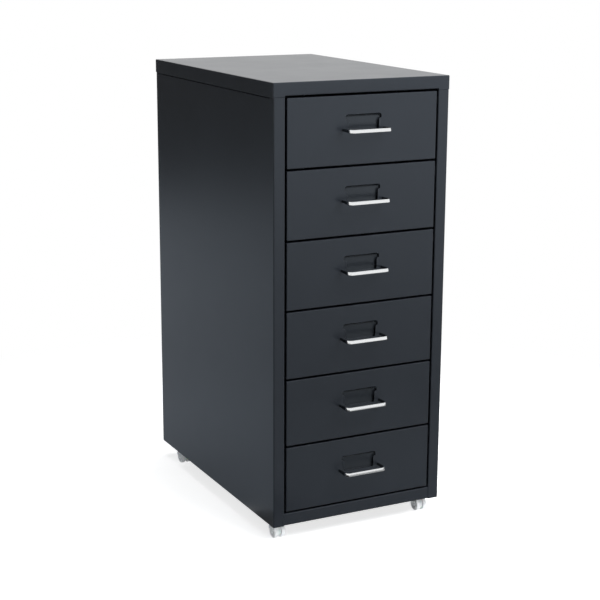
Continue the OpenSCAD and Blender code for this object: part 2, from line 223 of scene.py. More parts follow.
class Solid:
    """Closed shells in millimetres that become one mesh object."""

    def __init__(self) -> None:
        """Starts without a shell."""
        self._mesh = bmesh.new()

    def shell(
        self, *patches: Array, rows_close: bool = False, ends: bool = True, mirror: bool = False
    ) -> "Solid":
        """Adds one closed shell.

        Args:
            patches: (rows, columns, 3) grids whose columns run round. Their common edges are welded.
            rows_close: Whether the last row joins the first, as on a ring.
            ends: Whether the first and last rows of each patch are closed by flat faces.
            mirror: Whether the shell is mirrored in X.

        Returns:
            The solid itself.
        """
        points: list[Array] = []
        faces: list[list[int]] = []
        start = 0
        for patch in patches:
            rows, columns = patch.shape[:2]
            index = np.arange(rows * columns).reshape(rows, columns) + start
            start += rows * columns
            if ends and not rows_close:
                faces += [index[0].tolist(), index[-1][::-1].tolist()]
            index = np.concatenate([index, index[:, :1]], axis=1)
            if rows_close:
                index = np.concatenate([index, index[:1]])
            quads = np.stack([index[:-1, :-1], index[1:, :-1], index[1:, 1:], index[:-1, 1:]], axis=-1)
            faces += quads.reshape(-1, 4).tolist()
            points.append(patch.reshape(-1, 3))
        cloud = np.concatenate(points) * MM
        if mirror:
            cloud[:, 0] *= -1
        part = bpy.data.meshes.new("shell")
        part.from_pydata(cloud, [], faces)
        work = bmesh.new()
        work.from_mesh(part)
        bmesh.ops.remove_doubles(work, verts=work.verts, dist=WELD_MM * MM)
        bmesh.ops.dissolve_degenerate(work, edges=work.edges, dist=WELD_MM * MM / 2)
        bmesh.ops.recalc_face_normals(work, faces=work.faces)
        work.to_mesh(part)
        work.free()
        self._mesh.from_mesh(part)
        bpy.data.meshes.remove(part)
        return self

    def piece(self, name: str, crease_degrees: float = 32.0) -> bpy.types.Object:
        """Makes the object. Its faces are smooth, but for edges sharper than the crease angle.

        Args:
            name: Name of the object and its mesh.
            crease_degrees: The crease angle.

        Returns:
            The object, in the scene. The solid can't be used again.
        """
        mesh = bpy.data.meshes.new(name)
        self._mesh.to_mesh(mesh)
        self._mesh.free()
        mesh.shade_smooth()
        mesh.set_sharp_from_angle(angle=math.radians(crease_degrees))
        return add_object(name, mesh)


def add_object(name: str, data: bpy.types.ID) -> bpy.types.Object:
    """Adds an object to the scene.

    Args:
        name: Its name.
        data: Its mesh, lamp or camera.

    Returns:
        The object, at the origin.
    """
    thing = bpy.data.objects.new(name, data)
    bpy.context.scene.collection.objects.link(thing)
    return thing


def s_curve(share: Array) -> Array:
    """Smooth step: 3 s^2 - 2 s^3, level at 0 and at 1."""
    return share * share * (3 - 2 * share)


def node_box(name: str) -> tuple[Array, Array]:
    """Lowest and highest corner of a CAD node, in millimetres."""
    low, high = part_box(name)
    return np.array(low) / MM, np.array(high) / MM


# ---- Finishes ----


def linear(hex_code: str) -> tuple[float, float, float, float]:
    """Turns an sRGB colour to linear light, by the standard curve.

    Args:
        hex_code: The colour as #rrggbb.

    Returns:
        Red, green, blue and alpha.
    """
    values = np.array([int(hex_code[k : k + 2], 16) for k in (1, 3, 5)]) / 255
    values = np.where(values <= 0.04045, values / 12.92, ((values + 0.055) / 1.055) ** 2.4)
    return (*values.tolist(), 1.0)


def per_mm(size: float) -> float:
    """Texture scale that gives a pattern this many millimetres coarse, on coordinates in metres."""
    return 1.0 / (size * MM)


def bare_tree(owner: bpy.types.Material | bpy.types.World) -> bpy.types.NodeTree:
    """Turns on the nodes of a new material or world, and clears them.

    Args:
        owner: The material or world.

    Returns:
        Its empty node tree.
    """
    owner.use_nodes = True
    owner.node_tree.nodes.clear()
    return owner.node_tree


def add_node(
    tree: bpy.types.NodeTree, kind: str, inputs: dict[str | int, object] | None = None, **settings: object
) -> bpy.types.Node:
    """Adds a node to a tree.

    Args:
        tree: The node tree.
        kind: Blender's name of the node type.
        inputs: Input name or number to a value, or to an output socket that is linked to it.
        settings: Properties of the node.

    Returns:
        The new node.
    """
    node = tree.nodes.new(kind)
    for key, value in settings.items():
        setattr(node, key, value)
    for key, value in (inputs or {}).items():
        if isinstance(value, bpy.types.NodeSocket):
            tree.links.new(value, node.inputs[key])
        else:
            node.inputs[key].default_value = value
    return node


@dataclass(frozen=True)
class Relief:
    """A fine relief in a surface: the size of its grain and its depth in millimetres, and its octaves.

    The squash lays the grain out along an axis: 0.05 makes it twenty times as long there.
    """

    size: float
    depth: float
    octaves: float = 2.0
    squash: Point = (1.0, 1.0, 1.0)


@dataclass(frozen=True)
class Finish:
    """A surface finish: a Principled shader with clouded gloss and reliefs, which its kind adds to."""

    name: str
    colour: str
    roughness: float
    metallic: float = 0.0
    cloud_size: float = 10.0
    cloud_octaves: float = 2.0
    gloss_share: float = 0.04
    reliefs: tuple[Relief, ...] = ()

    # Each octave of a noise is this strong against the one before
    OCTAVE_SHARE: ClassVar[float] = 0.55
    # Nearly all values of a noise lie in this range, which is spread over the one that is asked for
    NOISE_RANGE: ClassVar[dict[str, float]] = {"From Min": 0.3, "From Max": 0.7}

    def dress(self, tree: bpy.types.NodeTree, place: bpy.types.NodeSocket, shader: bpy.types.Node) -> None:
        """Adds what sets this kind of finish apart. The base class leaves it as it is."""

    @cached_property
    def material(self) -> bpy.types.Material:
        """The finish as a material, made at first use."""
        material = bpy.data.materials.new(self.name)
        tree = bare_tree(material)
        base = {"Base Color": linear(self.colour), "Roughness": self.roughness, "Metallic": self.metallic}
        shader = add_node(tree, "ShaderNodeBsdfPrincipled", base)
        place = add_node(tree, "ShaderNodeTexCoord").outputs["Object"]
        grain = {"Vector": place, "Scale": per_mm(self.cloud_size), "Detail": self.cloud_octaves}
        cloud = add_node(tree, "ShaderNodeTexNoise", {**grain, "Roughness": self.OCTAVE_SHARE}).outputs[0]
        ends = {"To Min": self.roughness - self.gloss_share, "To Max": self.roughness + self.gloss_share}
        gloss = add_node(tree, "ShaderNodeMapRange", {"Value": cloud, **self.NOISE_RANGE, **ends}).outputs[0]
        tree.links.new(gloss, shader.inputs["Roughness"])
        self.carve(tree, place, shader)
        self.dress(tree, place, shader)
        add_node(tree, "ShaderNodeOutputMaterial", {"Surface": shader.outputs[0]})
        return material

    def carve(self, tree: bpy.types.NodeTree, place: bpy.types.NodeSocket, shader: bpy.types.Node) -> None:
        """Lays each relief over the ones before it, and the last over the shader's normal.

        Args:
            tree: The material's nodes.
            place: Object coordinates.
            shader: The Principled shader.
        """
        normal: dict[str, bpy.types.NodeSocket] = {}
        for relief in self.reliefs:
            laid = add_node(tree, "ShaderNodeMapping", {"Vector": place, "Scale": relief.squash}).outputs[0]
            grain = {"Vector": laid, "Scale": per_mm(relief.size), "Detail": relief.octaves}
            noise = add_node(tree, "ShaderNodeTexNoise", {**grain, "Roughness": self.OCTAVE_SHARE})
            bump = {"Height": noise.outputs[0], "Distance": relief.depth * MM, "Strength": 1.0, **normal}
            normal = {"Normal": add_node(tree, "ShaderNodeBump", bump).outputs[0]}
        if normal:
            tree.links.new(normal["Normal"], shader.inputs["Normal"])


@dataclass(frozen=True)
class PowderCoat(Finish):
    """Polyester powder baked onto steel sheet: satin, with a fine orange peel and a faint large mottle.

    The peel lies over the sheet's slight waves. The real peel is about 0.8 mm coarse and is drawn at
    3.2 mm, so that it shows at the size of a render.
    """

    cloud_size: float = 60.0
    gloss_share: float = 0.012
    reliefs: tuple[Relief, ...] = (
        Relief(size=130.0, depth=0.05, octaves=0.0),
        Relief(size=3.2, depth=0.004, octaves=1.0),
    )
    mottle_octaves: float = 5.0
    light_share: float = 0.03
    sheen_hex: str = "#e8f4ff"

    def dress(self, tree: bpy.types.NodeTree, place: bpy.types.NodeSocket, shader: bpy.types.Node) -> None:
        """Mottles the colour and cools the sheen.

        Args:
            tree: The material's nodes.
            place: Object coordinates.
            shader: The Principled shader.
        """
        grain = {"Vector": place, "Scale": per_mm(self.cloud_size), "Detail": self.mottle_octaves}
        mottle = add_node(tree, "ShaderNodeTexNoise", {**grain, "Roughness": self.OCTAVE_SHARE}).outputs[0]
        share = add_node(tree, "ShaderNodeMapRange", {"Value": mottle, **self.NOISE_RANGE}).outputs[0]
        base = np.array(linear(self.colour)[:3])
        dark, light = base * (1 - self.light_share), base * (1 + self.light_share)
        tints = {0: share, 6: (*dark, 1.0), 7: (*light, 1.0)}
        tint = add_node(tree, "ShaderNodeMix", tints, data_type="RGBA")
        tree.links.new(tint.outputs[2], shader.inputs["Base Color"])
        shader.inputs["Specular Tint"].default_value = linear(self.sheen_hex)


@dataclass(frozen=True)
class Plated(Finish):
    """Metal plate on steel: chrome when smooth, zinc when rougher, with clouds and streaks along X.

    Polishing leaves the streaks, which are half a millimetre coarse and twenty times as long.
    """

    metallic: float = 1.0
    cloud_size: float = 9.0
    cloud_octaves: float = 4.0
    gloss_share: float = 0.05
    reliefs: tuple[Relief, ...] = (Relief(size=0.5, depth=0.002, squash=(0.05, 1.0, 1.0)),)


@dataclass(frozen=True)
class ChromeWithPaintedLegShade(Plated):
    """Chrome on a bent strip: bright on the bar, with painted shade on the legs.

    The legs' colour darkens from the bends back to the front: painted shade for the legs' dark reflections.
    """

    # The legs' painted shade colour, how far behind the bar's front it starts, and over how many millimetres
    # it comes in
    leg_shade_hex: str = "#6c6f71"
    bright_reach: float = 6.0
    fade: float = 3.0

    def dress(self, tree: bpy.types.NodeTree, place: bpy.types.NodeSocket, shader: bpy.types.Node) -> None:
        """Darkens the colour from the bends back to the drawer's front, as painted shade on the legs.

        Args:
            tree: The material's nodes.
            place: Object coordinates.
            shader: The Principled shader.
        """
        # Painted shade: behind the bends the chrome's colour turns to the dark leg colour
        start = node_box("drawer_1_handle")[0][1] + self.bright_reach
        depth = add_node(tree, "ShaderNodeSeparateXYZ", {"Vector": place}).outputs["Y"]
        ends = {"From Min": start * MM, "From Max": (start + self.fade) * MM}
        share = add_node(tree, "ShaderNodeMapRange", {"Value": depth, **ends}).outputs[0]
        tints = {0: share, 6: linear(self.colour), 7: linear(self.leg_shade_hex)}
        tint = add_node(tree, "ShaderNodeMix", tints, data_type="RGBA")
        tree.links.new(tint.outputs[2], shader.inputs["Base Color"])


@dataclass(frozen=True)
class Moulded(Finish):
    """Injection-moulded plastic: an even skin with a very fine grain, and light that spreads under it."""

    cloud_size: float = 4.0
    reliefs: tuple[Relief, ...] = (Relief(size=0.7, depth=0.004),)
    glow: float = 0.25
    glow_reach: float = 1.5

    def dress(self, tree: bpy.types.NodeTree, place: bpy.types.NodeSocket, shader: bpy.types.Node) -> None:
        """Lets light spread under the skin, as far as the reach in millimetres."""
        shader.inputs["Subsurface Weight"].default_value = self.glow
        shader.inputs["Subsurface Scale"].default_value = self.glow_reach * MM


@dataclass(frozen=True)
class Palette:
    """All finishes of the cabinet.

    The coat on the shell and the fronts is an even satin with soft, wide highlights. In the pockets it is
    smoother, and a little darker as painted shade; inside the cabinet it is drier and duller. Chrome
    mirrors its surroundings sharply and is darkened on the handles' legs as painted shade; zinc shows only
    a soft grey shine. Nylon looks matt and a little translucent, acetal milky and glossy.
    """

    shell: Finish = PowderCoat("powder_coat_satin_dark_grey", "#1d2025", roughness=0.29)
    # The pockets' colour is a little darker than the shell's, which is painted shade; their lower roughness
    # is the coat's own
    recess: Finish = PowderCoat("powder_coat_pockets_painted_shade", "#1c1f23", roughness=0.22)
    inside: Finish = PowderCoat("powder_coat_inside_dark_grey", "#1d2024", roughness=0.38)
    # The chrome carries painted shade on the handles' legs
    chrome: Finish = ChromeWithPaintedLegShade("chrome_plate_legs_painted_shade", "#e9ebec", roughness=0.12)
    zinc: Finish = Plated("zinc_plate_bright", "#b9bcbd", roughness=0.34, gloss_share=0.08)
    nylon: Finish = Moulded("nylon_moulded_pale_grey", "#e6e9eb", roughness=0.42)
    acetal: Finish = Moulded("acetal_moulded_milky", "#f4f6f7", roughness=0.3, glow=0.0)


def finish_piece(thing: bpy.types.Object, finish: Finish, slot: str, body: str, *nodes: str) -> None:
    """Gives a new piece its material and body, and lets it stand for CAD nodes.

    Args:
        thing: The piece, at the origin.
        finish: Its finish.
        slot: Not used.
        body: The CAD body that it moves with.
        nodes: CAD nodes that it replaces.
    """
    thing.data.materials.append(finish.material)
    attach(thing, body)
    if nodes:
        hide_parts(*nodes)
    LOG.info("%s: %d faces on %s", thing.name, len(thing.data.polygons), body)


def refinish_node(node: str, finish: Finish) -> None:
    """Gives a CAD node that stays in view its finish.

    Args:
        node: Name of the node.
        finish: Its finish.
    """
    thing = frame["nodes"][node]
    if not thing.material_slots:
        thing.data.materials.append(None)
    for own in thing.material_slots:
        own.material = finish.material
    LOG.info("%s: kept from the packed model", node)


# ---- Pressed and bent sheet ----


@dataclass(frozen=True)
class Pan:
    """A sheet pressed into a shallow pan: a flat face, a fold all round and a lip behind it.

    The pan is made in its own frame: u and v in the face, w into the material. Rings run round it, each
    at an inset from the lips' outer planes. A ring's straight points keep their place along the side,
    and its corners are arcs of radius fold - inset, so that the corners of the pan are ball-shaped.
    """

    half_u: float
    half_v: float
    depth: float
    thickness: float
    fold: float
    edge: float = 0.12
    steps: int = 7
    hold: float = 0.35

    def ring(self, inset: float, along_u: Array, along_v: Array) -> Array:
        """One ring, with its four sides and four corners in turn.

        Args:
            inset: How far it lies inside the lips' outer planes.
            along_u: Places of the points on the two sides that run along u.
            along_v: Places of the points on the two sides that run along v.

        Returns:
            (n, 2) points.
        """
        reach = max(inset, self.fold)
        radius = max(self.fold - inset, 0.0)
        most_u, most_v = self.half_u - reach, self.half_v - reach
        u = np.clip(along_u, -most_u, most_u)
        v = np.clip(along_v, -most_v, most_v)
        out_u, out_v = self.half_u - inset, self.half_v - inset
        sides = [
            np.stack([u, np.full_like(u, -out_v)], axis=1),
            np.stack([np.full_like(v, out_u), v], axis=1),
            np.stack([u[::-1], np.full_like(u, out_v)], axis=1),
            np.stack([np.full_like(v, -out_u), v[::-1]], axis=1),
        ]
        turn = np.linspace(0.0, np.pi / 2, self.steps + 1)
        rings = []
        for number, (side, sign_u, sign_v) in enumerate(zip(sides, (1, 1, -1, -1), (-1, 1, 1, -1))):
            angle = turn + (number - 1) * np.pi / 2
            arc = np.stack([np.cos(angle), np.sin(angle)], axis=1) * radius
            rings += [side, arc + (sign_u * most_u, sign_v * most_v)]
        return np.concatenate(rings)

    def fold_section(self, outer: bool) -> Array:
        """The fold: a quarter circle from the face to the lip.

        Args:
            outer: Whether it is the sheet's outer side.

        Returns:
            (k, 2) inset and depth.
        """
        radius = self.fold if outer else self.fold - self.thickness
        angle = np.linspace(0.0, np.pi / 2, self.steps + 1)
        return np.stack([self.fold - radius * np.sin(angle), self.fold - radius * np.cos(angle)], axis=1)

    def section(self) -> Array:
        """The pan's section, from the face's outer side over the lip's rim to the face's inner side.

        Returns:
            (k, 2) inset and depth.
        """
        face = np.array([[self.fold + self.hold, 0.0]])
        lip = np.array(
            [
                [0.0, self.fold + self.hold],
                [0.0, self.depth - self.edge],
                [self.edge, self.depth],
                [self.thickness - self.edge, self.depth],
                [self.thickness, self.depth - self.edge],
                [self.thickness, self.fold + self.hold],
            ]
        )
        under = np.array([[self.fold + self.hold, self.thickness]])
        return np.concatenate([face, self.fold_section(True), lip, self.fold_section(False)[::-1], under])


@dataclass(frozen=True)
class CabinetShell:
    """The fixed sheet-metal body: cap, two sides, back, floor with its rail, runners and back screws.

    Under the cap, each side is joggled: it steps inwards, so that a groove shows between the two.
    """

    palette: Palette
    sheet: float = 0.8
    sheet_edge: float = 0.12
    fold: float = 1.4
    post_width: float = 18.0
    post_lip: float = 14.0
    # The rails over and under the drawers end this much short of the opening
    rail_relief: float = 1.5
    # Gap between two sheets that meet
    joint: float = 0.3
    # Rows of points this far beside an edge or a step keep smooth shading out of the flats
    hold: float = 0.5
    near_hold: float = 0.2
    rail_hold: float = 0.3
    # Width of the step where the cap's flange starts to fold in, and the points along a short side
    tuck_step: float = 0.02
    side_points: int = 7
    joggle: float = 1.6
    joggle_run: float = 0.8
    joggle_gap: float = 1.3
    joggle_start: float = 13.0
    joggle_end: float = 5.0
    back_round: float = 2.0
    back_edge: float = 0.25
    screw_rows: int = 4
    # Radians from one screw's cross to the next one's
    screw_turn: float = 0.7

    @cached_property
    def cap_box(self) -> tuple[Array, Array]:
        """Box of the cap, which sets the width, the depth and the top of the cabinet."""
        return node_box("top_panel")

    @cached_property
    def base(self) -> float:
        """Height of the cabinet's underside."""
        return float(node_box("left_side_panel")[0][2])

    @cached_property
    def opening(self) -> float:
        """Half the width between the posts."""
        return float(self.cap_box[1][0]) - self.post_width

    def cap(self) -> None:
        """Cap with a flange on four sides; the front flange folds in under itself between the posts."""
        low, high = self.cap_box
        half_u, half_v = (high[0] - low[0]) / 2, (high[1] - low[1]) / 2
        middle = (low[1] + high[1]) / 2
        flange = high[2] - low[2]
        pan = Pan(half_u, half_v, flange, self.sheet, self.fold)
        end, step = self.opening, self.tuck_step
        along_u = np.array([-half_u, -end - step, -end, -end / 2, 0, end / 2, end, end + step, half_u])
        along_v = np.linspace(-half_v, half_v, self.side_points)
        straight_rows, tucked_rows = self.flange_sections(pan)
        rows = []
        for straight, tucked in zip(straight_rows, tucked_rows):
            ring = pan.ring(straight[0], along_u, along_v)
            outer = pan.ring(0.0, along_u, along_v)
            front = (outer[:, 1] < -half_v + step / 2) & (np.abs(outer[:, 0]) <= end + step / 2)
            lifted = np.where(front, tucked[1], straight[1])
            v = np.where(front, -half_v + tucked[0], ring[:, 1])
            rows.append(np.stack([ring[:, 0], v + middle, high[2] - lifted], axis=1))
        solid = Solid().shell(np.array(rows))
        finish_piece(solid.piece("cap"), self.palette.shell, "cabinet_paint", "cabinet", "top_panel")

    def flange_sections(self, pan: Pan) -> tuple[Array, Array]:
        """The cap's section where its flange ends in a rim, and where it folds in to a lip.

        The lower fold is a quarter circle, the lip runs inwards from it, and its upper side comes back
        through the inner quarter circle. The rim's four points are repeated to as many rows.

        Args:
            pan: The cap as a pan.

        Returns:
            Two (k, 2) lists of inset and depth: with the rim, and with the lip.
        """
        angle = np.linspace(0.0, np.pi / 2, pan.steps + 1)
        inner = pan.fold - pan.thickness
        depth = pan.depth - self.rail_relief
        arc = np.stack([-np.cos(angle), np.sin(angle)], axis=1)
        middle = np.array([pan.fold, depth - pan.fold])
        tip = np.array([[self.post_lip, depth], [self.post_lip, depth - pan.thickness]])
        lip = np.concatenate([middle + pan.fold * arc, tip, (middle + inner * arc)[::-1]])
        section = pan.section()
        # Before the rim come one point of the face, the fold's arc and one point of the lip
        rim_start, rim_points = len(angle) + 2, 4
        rim_end = rim_start + rim_points
        share = np.arange(len(lip)) * rim_points // len(lip)
        head, rim, tail = section[:rim_start], section[rim_start:rim_end][share], section[rim_end:]
        return np.concatenate([head, rim, tail]), np.concatenate([head, lip, tail])

    def build(self) -> None:
        """Builds and dresses every piece of the fixed body."""
        self.cap()
        for hand in Hand:
            self.side(hand)
        self.back()
        self.floor()
        self.back_screws()
        for hand in Hand:
            refinish_node(f"{hand.name.lower()}_runners", self.palette.inside)

    def side(self, hand: Hand) -> None:
        """Side panel: its plan section is carried up, and its web is set in behind the cap's flange.

        Args:
            hand: The side that it is on.
        """
        low, high = node_box("right_side_panel")
        web, front, rear = high[0], low[1], high[1]
        top = self.cap_box[0][2] - self.joint
        bend = front + self.joggle_start
        plain = self.plan_section(web, front, rear, 0.0, bend)
        joggled = self.plan_section(web, front, rear, self.joggle, bend)
        break_z = top - self.joggle_gap
        rising = [self.base, self.base + self.hold, break_z - self.joggle_run]
        places = np.array([*rising, break_z, break_z + self.near_hold, top])
        sections = np.array([plain, plain, plain, joggled, joggled, joggled])
        left = hand is Hand.LEFT
        solid = Solid().shell(carried(sections, places, 2), mirror=left)
        inner = web - self.joggle
        near = inner - self.sheet
        plate = np.array([[near, bend], [inner, bend], [inner, rear], [near, rear]])
        solid.shell(carried(plate, np.array([top, high[2]]), 2), mirror=left)
        name = f"{hand.name.lower()}_side"
        piece = solid.piece(name)
        finish_piece(piece, self.palette.shell, "cabinet_paint", "cabinet", f"{name}_panel")

    def plan_section(self, web: float, front: float, rear: float, inset: float, bend: float) -> Array:
        """Section of a side from above: inner lip, post, web, rear post and its lip.

        Args:
            web: Outer plane of the web.
            front: Front plane of the post.
            rear: Rear plane of the rear post.
            inset: How far the web lies inwards behind the bend.
            bend: Place of the bend along Y.

        Returns:
            (n, 2) outline of the sheet.
        """
        end, run = self.opening, self.joggle_run
        close = rear - self.joggle_end
        path = np.array(
            [
                [end, front + self.post_lip],
                [end, front],
                [web, front],
                [web, bend],
                [web - inset, bend + run],
                [web - inset, close - run],
                [web, close],
                [web, rear],
                [end, rear],
                [end, rear - self.post_lip],
            ]
        )
        return self.bent(path, np.array([self.fold, self.fold, 0, 0, 0, 0, self.fold, self.fold]))

    def bent(self, path: Array, folds: Array) -> Array:
        """Closed outline of a bent sheet: the path, and its parallel one sheet to the left.

        Args:
            path: (n, 2) outer side of the sheet. It turns to the left wherever it has a fold.
            folds: (n - 2,) outer radius of each fold, 0 for a sharp bend.

        Returns:
            (m, 2) outline.
        """
        along = np.diff(path, axis=0)
        along = along / np.linalg.norm(along, axis=1, keepdims=True)
        normal = np.stack([-along[:, 1], along[:, 0]], axis=1)
        shared = (normal[:-1] + normal[1:]) / (1 + np.sum(normal[:-1] * normal[1:], axis=1, keepdims=True))
        moved = path + self.sheet * np.concatenate([normal[:1], shared, normal[-1:]])
        edge = np.array([self.sheet_edge])
        inner = np.where(folds > 0, folds - self.sheet, 0.0)
        radii = np.concatenate([edge, folds, edge, edge, inner[::-1], edge])
        return rounded(np.concatenate([path, moved[::-1]]), radii, closed=True)

    def back(self) -> None:
        """Flat sheet over the rear posts."""
        low, high = node_box("back_panel")
        places = np.array([0.0, self.back_edge, high[1] - low[1]])
        insets = np.array([self.back_edge, 0.0, 0.0])
        corners = np.array([[low[0], low[2]], [high[0], low[2]], [high[0], high[2]], [low[0], high[2]]])
        middle = corners.mean(axis=0)
        shrink = 1 - insets[:, None, None] / np.abs(corners - middle)
        round_corners = np.full(len(corners), self.back_round)
        rows = [rounded(middle + (corners - middle) * s, round_corners, closed=True) for s in shrink]
        solid = Solid().shell(carried(np.array(rows), high[1] - places, 1))
        finish_piece(solid.piece("back"), self.palette.shell, "cabinet_paint", "cabinet", "back_panel")

    def floor(self) -> None:
        """Floor pan with the rail below the drawers, and a wing folded up along each side."""
        low, high = node_box("bottom_panel")
        neck = self.opening - self.joint / 2
        front, rear, top = low[1], high[1], high[2]
        lip = self.cap_box[0][1] + self.post_lip
        rail = top - self.rail_relief
        path = np.array([[lip, rail], [front, rail], [front, low[2]], [rear, low[2]], [rear, top]])
        section = self.bent(path, np.full(3, self.fold))
        held = neck - self.rail_hold
        solid = Solid().shell(carried(section, np.array([-neck, -held, held, neck]), 0))
        wing = np.array([[neck, low[2]], [high[0], low[2]], [high[0], top]])
        wing_section = self.bent(wing, np.full(1, self.fold))
        ends = np.array([lip + self.joint, rear - self.post_lip - self.joint])
        for mirror in (False, True):
            solid.shell(carried(wing_section, ends, 1), mirror=mirror)
        piece = solid.piece("floor_and_rail")
        finish_piece(piece, self.palette.shell, "cabinet_paint", "cabinet", "bottom_panel")

    def back_screws(self) -> None:
        """Screws in the back: two columns into the rear posts, two in the cap and two in the floor pan."""
        low, high = node_box("back_screws")
        rail_z, top = self.cap_box[0][2], self.cap_box[1][2]
        column = high[0] - ScrewHead.radius
        pitch = (rail_z - self.base) / self.screw_rows
        spots = [(column, self.base + (row + 0.5) * pitch) for row in range(self.screw_rows)]
        spots += [(column, (rail_z + top) / 2), (self.opening / 2, low[2] + ScrewHead.radius)]
        solid = Solid()
        for number, (x, z) in enumerate(spots):
            for sign in (-1, 1):
                seat = np.array([sign * x, high[1] - ScrewHead.height, z])
                solid.shell(ScrewHead(seat, self.screw_turn * number + sign).surface())
        piece = solid.piece("back_screw_heads")
        finish_piece(piece, self.palette.zinc, "zinc_steel", "cabinet", "back_screws")


@dataclass(frozen=True)
class ScrewHead:
    """Pan head of a screw with a cross recess, seen from behind the cabinet."""

    seat: Array
    turn: float
    radius: float = 3.0
    height: float = 1.0
    sink: float = 0.2
    dome_power: float = 3.2
    slot_reach: float = 1.7
    slot_half: float = 0.32
    slot_depth: float = 0.8
    slot_wall: float = 0.16
    slot_end: float = 0.3
    slot_rings: int = 14
    points_round: int = 48

    def surface(self) -> Array:
        """Grid of radius and angle: a flattened dome less a cross whose walls are steep ramps.

        The dome's height is the root of 1 - (r / radius) to the dome's power. The rings are close
        together as far as the cross reaches, and again at the rim, whose last one goes into the sheet.

        Returns:
            (rings, points, 3) grid.
        """
        first, last = 0.02, self.slot_reach + 0.4
        dome = [self.radius - 0.6, self.radius - 0.3, self.radius - 0.12, self.radius, self.radius]
        radius = np.concatenate([np.linspace(first, last, self.slot_rings), dome])
        angle = np.linspace(0.0, 2 * np.pi, self.points_round, endpoint=False) + self.turn
        rise = self.height * np.sqrt(np.clip(1 - (radius / self.radius) ** self.dome_power, 0, 1))
        rise[-1] = -self.sink
        z = radius[:, None] * np.cos(angle)
        x = radius[:, None] * np.sin(angle)
        near = np.minimum(np.abs(x), np.abs(z))
        far = np.maximum(np.abs(x), np.abs(z))
        flank = np.clip((self.slot_half + self.slot_wall / 2 - near) / self.slot_wall, 0, 1)
        cross = flank * np.clip((self.slot_reach - far) / self.slot_end, 0, 1)
        return np.stack([x, rise[:, None] - self.slot_depth * cross, z], axis=-1) + self.seat


# ---- Drawers ----


